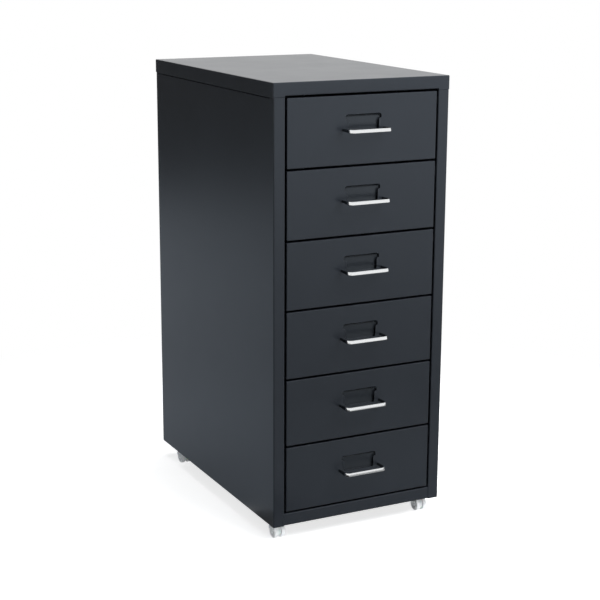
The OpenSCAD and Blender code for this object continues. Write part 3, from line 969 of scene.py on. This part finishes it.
@dataclass(frozen=True)
class Drawer:
    """One drawer: a pressed front with a label pocket, a bent strip handle, and the tray behind."""

    number: int
    palette: Palette
    # The folded front
    sheet: float = 0.8
    fold: float = 0.9
    front_lip: float = 12.0
    # The opening in it, and the edge that the punch leaves
    pocket_width: float = 57.0
    window_width: float = 49.0
    pocket_height: float = 23.6
    pocket_round: float = 3.6
    window_round: float = 0.5
    window_step: float = 1.5
    window_edge: float = 0.15
    # The two lips that hold a label
    lip_height: float = 16.7
    lip_round: float = 2.8
    lip_rise: float = 0.8
    lip_curl: float = 1.5
    lip_foot: float = 3.6
    lip_foot_run: float = 1.6
    lip_top_run: float = 1.0
    # From this far above the lips, every part of the opening's edge is in sight
    heart_rise: float = 1.2
    # The pressed recess behind the opening
    pocket_depth: float = 3.6
    slope: float = 2.4
    side_share: float = 0.5
    crease: float = 1.9
    ground_bend: float = 2.6
    ground_reach: float = 4.0
    recess_reach: float = 1.2
    recess_edge: float = 0.4
    recess_skin: float = 0.02
    # The strip handle
    strip: float = 2.0
    strip_edge: float = 0.4
    bend: float = 7.0
    tab_bend: float = 1.1
    clinch: float = 8.0
    leg_height: float = 3.2
    tip_size: float = 0.8
    path_points: int = 60
    face_points: int = 11
    # How far the bar's outer face leans back at its upper edge, and the share of it that is even
    crown: float = 0.85
    even_lean: float = 0.45
    # Where the square of the strip's direction along X falls under 1 / lean_hold, the lean fades
    lean_hold: float = 4.0
    strip_crease: float = 50.0

    @property
    def body(self) -> str:
        """Name of the drawer's body."""
        return f"drawer_{self.number}"

    @cached_property
    def front_box(self) -> tuple[Array, Array]:
        """Box of the folded front."""
        return node_box(f"{self.body}_front")

    @cached_property
    def handle_box(self) -> tuple[Array, Array]:
        """Box of the handle with its tabs."""
        return node_box(f"{self.body}_handle")

    @property
    def pocket_foot(self) -> float:
        """Height of the pocket's foot, level with the lower edge of the handle."""
        return float(self.handle_box[0][2])

    def build(self) -> None:
        """Builds and dresses the drawer."""
        self.front()
        self.pocket()
        self.handle()
        refinish_node(f"{self.body}_tray", self.palette.inside)
        refinish_node(f"{self.body}_back", self.palette.inside)

    def window(self) -> Array:
        """Outline of the opening: wide under the crease, narrower between the lips that hold a label.

        Returns:
            (n, 2) points, to the right of the middle and over the pocket's foot.
        """
        wide, narrow = self.pocket_width / 2, self.window_width / 2
        top, lip = self.pocket_height, self.lip_height
        right = np.array([[narrow, 0, self.window_round], [narrow, lip, self.lip_round]])
        right = np.concatenate([right, [[wide, lip, self.window_round], [wide, top, self.pocket_round]]])
        left = right[::-1] * (-1, 1, 1)
        table = np.concatenate([left[-1:], right, left[:-1]])
        return filled(rounded(table[:, :2], table[:, 2], closed=True, steps=7, hold=0.2), self.window_step)

    def raised(self, u: Array, v: Array) -> Array:
        """How far the two lips stand out of the face.

        Each rises from a bend line at the pocket's side towards its free edge, as a power of the way,
        and only between the lip's foot and its top, where it falls off over a short S-shaped run.

        Args:
            u: Distance to the right of the middle.
            v: Height over the pocket's foot.

        Returns:
            The rise at each point.
        """
        wide, narrow = self.pocket_width / 2, self.window_width / 2
        way = np.clip((wide - np.abs(u)) / (wide - narrow), 0, 1)
        foot = np.clip((v - self.lip_foot) / self.lip_foot_run + 0.5, 0, 1)
        top = np.clip((self.lip_height - v) / self.lip_top_run + 0.5, 0, 1)
        return self.lip_rise * way**self.lip_curl * s_curve(foot) * s_curve(top)

    def front(self) -> None:
        """Face, folds and lips as rings round the pocket's opening, each with its points on spokes.

        The spokes spread from the opening's heart, a point that sees all of its edge.
        """
        low, high = self.front_box
        half_u, half_v = (high[0] - low[0]) / 2, (high[2] - low[2]) / 2
        middle_v = (low[2] + high[2]) / 2
        pan = Pan(half_u, half_v, self.front_lip, self.sheet, self.fold)
        centre = self.lip_height + self.heart_rise
        heart = self.pocket_foot + centre - middle_v
        outline = self.window() - (0.0, centre)
        along_u, along_v = self.border_places(outline, heart, pan)
        section = pan.section()
        rings = [pan.ring(inset, along_u, along_v) for inset in section[:, 0]]
        border = pan.ring(self.fold, along_u, along_v) - (0.0, heart)
        angles = np.arctan2(border[:, 1], border[:, 0])
        spoke = star_radius(outline, angles)
        ray = np.stack([np.cos(angles), np.sin(angles)], axis=1)

        def around(growth: float) -> Array:
            """A ring at a distance outside the opening."""
            return ray * (spoke + growth)[:, None] + (0.0, heart)

        edge = self.window_edge
        # The rings are close together over the lips, which reach 4 mm from the opening's edge
        margin = np.array([edge, 0.4, 0.9, 1.4, 1.9, 2.4, 2.9, 3.4, 3.9, 4.6, 5.4, 6.4])
        outer = [around(0.0), *(around(growth) for growth in margin)]
        inner = [around(growth) for growth in (*margin[::-1], 0.0)]
        rows = np.array([*outer, *rings, *inner])
        depths = np.array([edge, *(0.0 * margin), *section[:, 1], *(self.sheet + 0.0 * margin), self.sheet])
        rise = self.raised(rows[..., 0], rows[..., 1] + middle_v - self.pocket_foot)
        grid = np.stack([rows[..., 0], low[1] + depths[:, None] - rise, rows[..., 1] + middle_v], axis=-1)
        piece = Solid().shell(grid, rows_close=True).piece(f"{self.body}_face")
        finish_piece(piece, self.palette.shell, "cabinet_paint", self.body, f"{self.body}_front")

    def border_places(self, outline: Array, heart: float, pan: Pan) -> tuple[Array, Array]:
        """Where the spokes from the opening's heart through its points reach the border of the face.

        Args:
            outline: (n, 2) points of the opening, seen from its heart.
            heart: Height of the heart over the middle of the face.
            pan: The front as a pan.

        Returns:
            Places along the border's level sides and along its upright sides, with their ends.
        """
        spokes = np.arctan2(outline[:, 1], outline[:, 0])
        cosine, sine = np.cos(spokes), np.sin(spokes)
        most_u, most_v = pan.half_u - pan.fold, pan.half_v - pan.fold
        reach_u = most_u / np.maximum(np.abs(cosine), TINY)
        reach_v = np.where(sine > 0, most_v - heart, most_v + heart) / np.maximum(np.abs(sine), TINY)
        hit = np.minimum(reach_u, reach_v)
        along_u = np.concatenate([(hit * cosine)[reach_v < reach_u], [-most_u, most_u]])
        along_v = np.concatenate([(hit * sine)[reach_v >= reach_u] + heart, [-most_v, most_v]])
        return np.unique(np.round(along_u, decimals=4)), np.unique(np.round(along_v, decimals=4))

    def pocket(self) -> None:
        """Pressed recess behind the opening, as rings that move in from its outline while they get deeper.

        Seen along the section, the metal turns through an arc at the crease, runs down the slanted wall
        and turns through a second arc into the flat ground. The outer side lies one sheet behind it.
        """
        ground, end = self.pocket_depth, self.slope + self.ground_reach
        section = np.array([[-self.recess_reach, 0.0], [0.0, 0.0], [self.slope, ground], [end, ground]])
        bends = np.array([0.0, self.crease, self.ground_bend, 0.0])
        inner, outer = (
            rounded(section + (0.0, depth), bends, closed=False, steps=6, hold=0.15)
            for depth in (0.0, self.sheet)
        )
        rows = np.concatenate([outer[::-1], inner + (0.0, self.recess_skin)])
        grid = np.stack([self.recess_ring(inset, depth) for inset, depth in rows])
        grid += (0.0, self.front_box[0][1], self.pocket_foot)
        piece = Solid().shell(grid).piece(f"{self.body}_label_pocket")
        # The pocket's finish is a little darker than the face's: painted shade in the recess
        finish_piece(piece, self.palette.recess, "cabinet_paint", self.body)

    def recess_ring(self, inset: float, depth: float) -> Array:
        """One ring of the recess: its outline drawn in by the inset at the top and by less at the sides.

        Args:
            inset: How far the ring lies under the upper edge of the opening.
            depth: How far it lies behind the face.

        Returns:
            (n, 3) points, with Y from the face and Z from the pocket's foot.
        """
        past_slope = max(inset - self.slope, 0.0)
        side = self.side_share * min(inset, self.slope) + past_slope
        half, top = self.pocket_width / 2 - side, self.pocket_height - inset
        low = -self.sheet / 2 + past_slope
        corners = np.array([[-half, low], [half, low], [half, top], [-half, top]])
        round_top = max(self.pocket_round - self.side_share * inset, self.recess_edge)
        radii = np.array([self.recess_edge, self.recess_edge, round_top, round_top])
        outline = rounded(corners, radii, closed=True, steps=7, hold=0.2)
        return np.stack([outline[:, 0], np.full(len(outline), depth), outline[:, 1]], axis=1)

    def strip_path(self) -> Array:
        """Plan of the strip's middle: tab, leg, bar, leg and tab, joined by arcs.

        Returns:
            (n, 2) points, with further ones on the straight runs.
        """
        low, high = self.handle_box
        half_strip = self.strip / 2
        leg = high[0] - self.clinch - half_strip
        bar = low[1] + half_strip
        tab = self.front_box[0][1] + self.sheet + half_strip
        left = np.array([[-high[0], tab], [-leg, tab], [-leg, bar]])
        corners = np.concatenate([left, left[::-1] * (-1, 1)])
        bend = self.bend - half_strip
        radii = np.array([0, self.tab_bend, bend, bend, self.tab_bend, 0])
        path = rounded(corners, radii, closed=False, steps=12, hold=0.6)
        path = path[np.concatenate([[True], np.linalg.norm(np.diff(path, axis=0), axis=1) > SMALL])]
        way = np.concatenate([[0], np.cumsum(np.linalg.norm(np.diff(path, axis=0), axis=1))])
        stops = np.unique(np.concatenate([way, np.linspace(0, way[-1], self.path_points)]))
        return np.stack([np.interp(stops, way, path[:, k]) for k in (0, 1)], axis=1)

    def strip_section(self, half_bar: float) -> Array:
        """Section of the strip: a rectangle with rounded edges, outer side first.

        Args:
            half_bar: Half the bar's height.

        Returns:
            (n, 2) points, from -1 to 1 through the strip and up it.
        """
        half_strip, count = self.strip / 2, self.face_points
        face = np.stack([np.full(count, half_strip), np.linspace(-half_bar, half_bar, count)], axis=1)
        corners = np.concatenate([face, [[-half_strip, half_bar], [-half_strip, -half_bar]]])
        edges = np.array([self.strip_edge, *np.zeros(count - 2), *np.full(3, self.strip_edge)])
        return rounded(corners, edges, closed=True, steps=5, hold=0.2) / (half_strip, half_bar)

    def handle(self) -> None:
        """Strip carried along its plan: tab, leg, bend, bar, bend, leg, tab. Its height tapers in the legs.

        The bar's outer face falls back towards its upper edge, more and more, also through most of its
        bends. The legs stay flat.
        """
        low, high = self.handle_box
        plane = self.front_box[0][1]
        path = self.strip_path()
        way = np.concatenate([[0], np.cumsum(np.linalg.norm(np.diff(path, axis=0), axis=1))])
        tangent = np.gradient(path, way, axis=0)
        tangent /= np.linalg.norm(tangent, axis=1, keepdims=True)
        outward = np.stack([tangent[:, 1], -tangent[:, 0]], axis=1)
        bar_height = high[2] - low[2]
        section = self.strip_section(bar_height / 2)
        share = np.clip((path[:, 1] - (low[1] + self.bend)) / (plane - low[1] - self.bend), 0, 1)
        height = bar_height * (1 - share) + self.leg_height * share
        rise = (section[:, 1] + 1) / 2
        fall = self.even_lean * rise + (1 - self.even_lean) * rise**2
        fall *= self.crown * (section[:, 0] + 1) / 2
        lean = np.minimum(self.lean_hold * tangent[:, :1] ** 2, 1)
        thickness = self.strip / 2 * section[:, 0] - fall * lean
        size = np.ones(len(path))
        size[[0, -1]] = self.tip_size
        grid = np.empty((len(path), len(section), 3))
        grid[..., :2] = path[:, None] + outward[:, None] * (size[:, None] * thickness)[..., None]
        grid[..., 2] = (low[2] + high[2]) / 2 + (height * size)[:, None] / 2 * section[:, 1]
        # The handle's chrome is darkened on the legs as painted shade
        piece = Solid().shell(grid).piece(f"{self.body}_strip_handle", self.strip_crease)
        finish_piece(piece, self.palette.chrome, "handle_chrome", self.body, f"{self.body}_handle")


# ---- Casters ----


@dataclass(frozen=True)
class Caster:
    """One swivel caster: a hood on a boss, a rib between two small wheels and a plate above."""

    corner: Corner
    palette: Palette
    # The wheel's inner face, recessed within the rim
    face_recess: float = 0.6
    face_reach: float = 3.0
    rim_reach: float = 2.2
    # Its tread, widest at this share of the width, and how much lower it lies at both ends
    crown_at: float = 0.42
    inner_fall: float = 0.15
    outer_fall: float = 0.02
    shoulder: float = 1.8
    # Its outer face, dished towards the groove round the hub
    hub_radius: float = 3.3
    dish: float = 0.45
    dish_reach: float = 1.6
    groove: float = 0.9
    groove_depth: float = 0.8
    wheel_steps: int = 72
    # The hood
    hood_gap: float = 0.6
    hood_thickness: float = 1.1
    hood_steps: int = 40
    inner_edge: float = 0.3
    outer_edge: float = 0.5
    end_size: float = 0.985
    # The rib goes into the hood by its overlap. It shrinks to a disc within the wheels over a turn,
    # given in radians, that starts a little before the hood's end
    rib: float = 4.0
    rib_overlap: float = 0.2
    rib_inset: float = 2.0
    rib_lead: float = 0.1
    rib_turn: float = 0.25
    rib_steps: int = 96
    # The boss round the kingpin, by its depths under the cabinet
    boss_radius: float = 5.6
    boss_top: float = 1.95
    boss_foot: float = 7.0
    boss_edge: float = 0.5
    boss_foot_edge: float = 1.0
    boss_steps: int = 56

    @property
    def body(self) -> str:
        """Name of the swivelling body."""
        return f"caster_{self.corner.value}"

    @cached_property
    def wheel_box(self) -> tuple[Array, Array]:
        """Box of the right wheel."""
        return node_box(f"{self.body}_right_wheel")

    @cached_property
    def axle(self) -> Array:
        """Middle of the axle: the middle of the housing in X, and of the wheels in Y and Z."""
        low, high = self.wheel_box
        housing_low, housing_high = node_box(f"{self.body}_housing")
        return np.array([(housing_low[0] + housing_high[0]) / 2, *(low + high)[1:] / 2])

    @cached_property
    def wheel_radius(self) -> float:
        """Radius of the wheels."""
        return float(self.wheel_box[1][2] - self.wheel_box[0][2]) / 2

    def build(self) -> None:
        """Builds and dresses the caster."""
        for hand in Hand:
            self.wheel(hand)
        self.housing()
        refinish_node(f"{self.body}_axle", self.palette.zinc)

    def wheel(self, hand: Hand) -> None:
        """Wheel turned from its profile: inner face, crowned tread, round shoulder, dished face and hub.

        Args:
            hand: The side of the caster that it is on.
        """
        low, high = self.wheel_box
        width = float(high[0] - low[0])
        inner = float(low[0] - self.axle[0])
        radius, hub, groove_end = self.wheel_radius, self.hub_radius, self.hub_radius + self.groove
        dished = width - self.dish
        bottom = dished - self.groove_depth
        # Distance from the axis, height over the inner side, and the corner's own radius
        table = np.array(
            [
                [0.0, self.face_recess, 0.0],
                [radius - self.face_reach, self.face_recess, 0.4],
                [radius - self.rim_reach, 0.0, 0.4],
                [radius - self.inner_fall, 0.0, 0.6],
                [radius, width * self.crown_at, 3.0],
                [radius - self.outer_fall, width, self.shoulder],
                [groove_end + self.dish_reach, width, 0.8],
                [groove_end, dished, 0.2],
                [groove_end, bottom, 0.1],
                [hub, bottom, 0.1],
                [hub, width, 0.5],
                [0.0, width, 0.0],
            ]
        )
        profile = rounded(table[:, :2], table[:, 2], closed=False, steps=6, hold=0.15)
        centre = self.axle + (hand.value * inner, 0, 0)
        name = f"{self.body}_{hand.name.lower()}_wheel"
        disc = turned(profile, centre, 0, float(hand.value), self.wheel_steps)
        piece = Solid().shell(disc, ends=False).piece(f"{name}_disc")
        finish_piece(piece, self.palette.acetal, "wheel_plastic", name, name)

    def housing(self) -> None:
        """Housing in one piece: the hood, the rib under it and the boss."""
        # The hood starts where it lies half a wheel's radius in front of the axle
        inner = self.wheel_radius + self.hood_gap
        start = math.asin(self.wheel_radius / 2 / (inner + self.hood_thickness))
        solid = Solid().shell(self.hood(inner, start)).shell(self.web(inner, start))
        pin = np.array(next(j["pos_m"] for j in frame["joints"] if j["child"] == self.body)) / MM
        top, foot, radius = self.boss_top, self.boss_foot, self.boss_radius
        boss = np.array([[0.0, top], [radius, top], [radius, foot], [0.0, foot]])
        edges = np.array([0, self.boss_edge, self.boss_foot_edge, 0])
        profile = rounded(boss, edges, closed=False, steps=5, hold=0.2)
        solid.shell(turned(profile, pin, 2, -1.0, self.boss_steps), ends=False)
        piece = solid.piece(f"{self.body}_hood")
        finish_piece(piece, self.palette.nylon, "caster_plastic", self.body, f"{self.body}_housing")

    def hood(self, inner: float, start: float) -> Array:
        """Hood swept round the axle: its section goes from the start, in front, over the top to the back.

        Args:
            inner: Radius of its inner side.
            start: Angle in front of the top, in radians.

        Returns:
            (k, n, 3) grid.
        """
        low, high = node_box(f"{self.body}_housing")
        half, outer = (high[0] - low[0]) / 2, inner + self.hood_thickness
        corners = np.array([[-half, inner], [half, inner], [half, outer], [-half, outer]])
        edges = np.repeat([self.inner_edge, self.outer_edge], 2)
        section = rounded(corners, edges, closed=True, steps=4, hold=0.2)
        angle = np.linspace(-start, math.pi / 2, self.hood_steps)[:, None]
        squeeze = np.ones_like(angle)
        squeeze[[0, -1]] = self.end_size
        x, reach = section.T
        return self.axle + np.stack([x * squeeze, reach * np.sin(angle), reach * np.cos(angle)], axis=-1)

    def web(self, inner: float, start: float) -> Array:
        """Rib between the wheels: it reaches into the hood at the top and is a disc elsewhere.

        Args:
            inner: Radius of the hood's inner side.
            start: Angle of the hood's start in front of the top, in radians.

        Returns:
            (2, n, 3) grid.
        """
        turn = np.linspace(0, 2 * np.pi, self.rib_steps, endpoint=False)
        offset = np.abs((turn - (math.pi / 2 - start) / 2 + math.pi) % (2 * np.pi) - math.pi)
        share = (offset - (math.pi / 2 + start) / 2 + self.rib_lead) / self.rib_turn
        blend = s_curve(np.clip(share, 0, 1))
        reach = (inner + self.rib_overlap) * (1 - blend) + (self.wheel_radius - self.rib_inset) * blend
        outline = self.axle[1:] + reach[:, None] * np.stack([np.sin(turn), np.cos(turn)], axis=1)
        return carried(outline, self.axle[0] + np.array([-0.5, 0.5]) * self.rib, 0)


# ---- Studio ----


@dataclass(frozen=True)
class Camera:
    """A camera that stands to the left of the front and looks slightly down."""

    place: Point = (-1002.8, -1980.0, 855.5)
    azimuth: float = 26.98
    pitch: float = 13.91
    roll: float = 0.27
    lens: float = 87.84
    # Metres, so that the whole of the floor stays in view
    clip_end: float = 100.0

    def build(self) -> None:
        """Makes the camera: the columns of its matrix are its right, up and backward directions."""
        azimuth, pitch, roll = (math.radians(a) for a in (self.azimuth, self.pitch, self.roll))
        level = np.array([math.cos(azimuth), -math.sin(azimuth), 0.0])
        forward = np.array([math.sin(azimuth), math.cos(azimuth), 0.0])
        ahead = math.cos(pitch) * forward - math.sin(pitch) * np.array([0.0, 0.0, 1.0])
        upright = np.cross(level, ahead)
        right = math.cos(roll) * level + math.sin(roll) * upright
        up = math.cos(roll) * upright - math.sin(roll) * level
        data = bpy.data.cameras.new("camera")
        data.lens = self.lens
        data.clip_end = self.clip_end
        thing = add_object("camera", data)
        matrix = np.eye(4)
        matrix[:3, :3] = np.stack([right, up, -ahead], axis=1)
        matrix[:3, 3] = np.array(self.place) * MM
        thing.matrix_world = Matrix(matrix.tolist())
        bpy.context.scene.camera = thing


@dataclass(frozen=True)
class Softbox:
    """A rectangular lamp that looks at a point. Places and sizes are in metres, its spread in degrees."""

    name: str
    place: Point
    target: Point
    width: float
    height: float
    watts: float
    spread: float = 180.0
    in_gloss: bool = False

    def build(self) -> None:
        """Makes the lamp, which the camera doesn't see."""
        data = bpy.data.lights.new(self.name, "AREA")
        data.shape = "RECTANGLE"
        data.size, data.size_y = self.width, self.height
        data.energy = self.watts
        data.spread = math.radians(self.spread)
        thing = add_object(self.name, data)
        aim = Vector(self.target) - Vector(self.place)
        turn = aim.to_track_quat("-Z", "Y").to_matrix().to_4x4()
        thing.matrix_world = Matrix.Translation(self.place) @ turn
        thing.visible_camera = False
        thing.visible_glossy = self.in_gloss


def sheet_mesh(name: str, low: tuple[float, float], high: tuple[float, float]) -> bpy.types.Mesh:
    """A flat rectangle at z = 0, in metres.

    Args:
        name: Name of the mesh.
        low: X and Y of its corner at the lower left.
        high: X and Y of its corner at the upper right.

    Returns:
        The mesh.
    """
    mesh = bpy.data.meshes.new(name)
    corners = [(*low, 0), (high[0], low[1], 0), (*high, 0), (low[0], high[1], 0)]
    mesh.from_pydata(corners, [], [(0, 1, 2, 3)])
    return mesh


@dataclass(frozen=True)
class Card:
    """A black card or net outside the view, seen by gloss alone, which grades a satin surface.

    It lies along its own Y axis from its near to its far edge. Its opacity runs from the near to the
    far value, and counts as 0 or 1 where it falls under 0 or rises over 1. What passes through the card
    takes the colour of its gel. Places and sizes are in metres, and the heading turns from +Y to -X.
    """

    name: str
    place: Point
    heading: float
    tilt: float
    width: float
    length: float
    near: float = 1.0
    far: float = 1.0
    gel: str = "#ffffff"
    black: str = "#050505"

    @cached_property
    def material(self) -> bpy.types.Material:
        """Black that is mixed with clear along the card."""
        material = bpy.data.materials.new(f"studio_{self.name}")
        tree = bare_tree(material)
        place = add_node(tree, "ShaderNodeTexCoord").outputs["Object"]
        along = add_node(tree, "ShaderNodeSeparateXYZ", {0: place}).outputs["Y"]
        ramp = {"Value": along, "From Max": self.length, "To Min": self.near, "To Max": self.far}
        opacity = add_node(tree, "ShaderNodeMapRange", ramp).outputs[0]
        clear = add_node(tree, "ShaderNodeBsdfTransparent", {"Color": linear(self.gel)}).outputs[0]
        black = add_node(tree, "ShaderNodeBsdfDiffuse", {"Color": linear(self.black)}).outputs[0]
        mixed = add_node(tree, "ShaderNodeMixShader", {0: opacity, 1: clear, 2: black}).outputs[0]
        add_node(tree, "ShaderNodeOutputMaterial", {"Surface": mixed})
        return material

    def build(self) -> None:
        """Makes the card."""
        mesh = sheet_mesh(self.name, (-self.width / 2, 0), (self.width / 2, self.length))
        mesh.materials.append(self.material)
        thing = add_object(self.name, mesh)
        heading = Matrix.Rotation(math.radians(self.heading), 4, "Z")
        tilt = Matrix.Rotation(math.radians(self.tilt), 4, "X")
        thing.matrix_world = Matrix.Translation(self.place) @ heading @ tilt
        thing.visible_camera = thing.visible_diffuse = False
        thing.visible_transmission = thing.visible_shadow = False


@dataclass(frozen=True)
class Studio:
    """A pale floor that runs out to white, a white background, soft lamps and black cards."""

    # Each lamp: its name, place, target, width, height and watts
    lamps: tuple[Softbox, ...] = (
        Softbox("key_softbox", (0.5, -0.95, 1.35), (-0.03, -0.2, 0.9), 1.1, 0.9, 33.0),
        Softbox("top_softbox", (0.2, 0.2, 2.4), (0.0, 0.0, 0.4), 1.6, 1.6, 30.0),
        Softbox("low_softbox", (-0.12, -1.5, 0.14), (0.0, -0.15, -0.08), 1.0, 0.12, 0.42, spread=24.0),
        Softbox("rim_softbox", (-2.2, 1.2, 1.0), (0.0, 0.1, 0.3), 1.0, 1.4, 5.0, in_gloss=True),
    )
    # Each card: its name, place, heading, tilt, width, length, near and far opacity, and its gel
    cards: tuple[Card, ...] = (
        Card("left_flag", (-1.35, 2.5, 0.0), 27.0, 90.0, 3.0, 3.0, 0.91, 0.91),
        Card("left_net", (-2.27, -0.02, 0.004), -32.7, 0.0, 3.6, 4.0, 0.92, -0.1, "#e9f3ff"),
        Card("left_far_net", (-0.79, 1.06, 0.005), 27.0, 0.0, 3.0, 2.2, 0.0, 0.5),
        Card("front_net", (0.0, 0.0, 0.004), 207.0, 0.0, 2.8, 5.2, 0.87, -0.3),
        Card("camera_side_flag", (-1.58, -4.53, 0.006), 70.0, 0.0, 9.0, 6.0, 0.95, 0.95),
    )
    # Sizes in metres: the floor turns from lit to plain white between two distances from its middle
    floor_half: float = 12.0
    white_start: float = 0.4
    white_end: float = 0.95
    floor_colour: str = "#e6e7e8"
    floor_lift: float = 0.72
    world_colour: str = "#d9dde0"
    world_light: float = 0.2

    def build(self) -> None:
        """Makes the floor, the world, the lamps and the cards."""
        self.floor()
        self.world()
        for part in (*self.lamps, *self.cards):
            part.build()
        bpy.context.scene.view_settings.view_transform = "Standard"

    def floor(self) -> None:
        """Floor: near the cabinet it is lit and keeps the shadow, far off the camera sees plain white."""
        material = bpy.data.materials.new("studio_floor_pale")
        tree = bare_tree(material)
        place = add_node(tree, "ShaderNodeTexCoord").outputs["Object"]
        away = add_node(tree, "ShaderNodeVectorMath", {0: place}, operation="LENGTH").outputs["Value"]
        ends = {"Value": away, "From Min": self.white_start, "From Max": self.white_end}
        far = add_node(tree, "ShaderNodeMapRange", ends, interpolation_type="SMOOTHSTEP").outputs[0]
        lit = add_node(tree, "ShaderNodeBsdfDiffuse", {"Color": linear(self.floor_colour)}).outputs[0]
        glow, plain = (
            add_node(tree, "ShaderNodeEmission", {"Color": WHITE, "Strength": strength}).outputs[0]
            for strength in (self.floor_lift, 1.0)
        )
        near = add_node(tree, "ShaderNodeAddShader", {0: lit, 1: glow}).outputs[0]
        seen = add_node(tree, "ShaderNodeMixShader", {0: far, 1: near, 2: plain}).outputs[0]
        shown = add_node(tree, "ShaderNodeMixShader", {0: self.looking(tree), 1: lit, 2: seen}).outputs[0]
        add_node(tree, "ShaderNodeOutputMaterial", {"Surface": shown})
        reach = self.floor_half
        mesh = sheet_mesh("floor", (-reach, -reach), (reach, reach))
        mesh.materials.append(material)
        add_object("floor", mesh)

    def looking(self, tree: bpy.types.NodeTree) -> bpy.types.NodeSocket:
        """Tells rays that look from rays that gather light.

        Args:
            tree: Nodes of a material or of the world.

        Returns:
            1 for a ray from the camera, off gloss or through glass, and 0 for any other.
        """
        ray = add_node(tree, "ShaderNodeLightPath").outputs
        direct = {0: ray["Is Camera Ray"], 1: ray["Is Glossy Ray"]}
        either = add_node(tree, "ShaderNodeMath", direct, operation="MAXIMUM").outputs[0]
        both = {0: either, 1: ray["Is Transmission Ray"]}
        return add_node(tree, "ShaderNodeMath", both, operation="MAXIMUM").outputs[0]

    def world(self) -> None:
        """World: plain white to the camera, gloss and glass, and a dim grey fill as light."""
        world = bpy.data.worlds.new("studio_world")
        bpy.context.scene.world = world
        tree = bare_tree(world)
        fill = {"Color": linear(self.world_colour), "Strength": self.world_light}
        dim = add_node(tree, "ShaderNodeBackground", fill).outputs[0]
        plain = add_node(tree, "ShaderNodeBackground", {"Color": WHITE, "Strength": 1.0}).outputs[0]
        sky = add_node(tree, "ShaderNodeMixShader", {0: self.looking(tree), 1: dim, 2: plain}).outputs[0]
        add_node(tree, "ShaderNodeOutputWorld", {"Surface": sky})


def main() -> None:
    """Builds the studio, the cabinet's body, its drawers and its casters."""
    logging.basicConfig(level=logging.INFO, format="%(name)s %(message)s")
    palette = Palette()
    Camera().build()
    Studio().build()
    CabinetShell(palette).build()
    for number in range(1, DRAWERS + 1):
        Drawer(number, palette).build()
    for corner in Corner:
        Caster(corner, palette).build()
    for node in ("caster_plates", "caster_kingpins", "caster_screws"):
        refinish_node(node, palette.zinc)


if __name__ == "__main__":
    main()
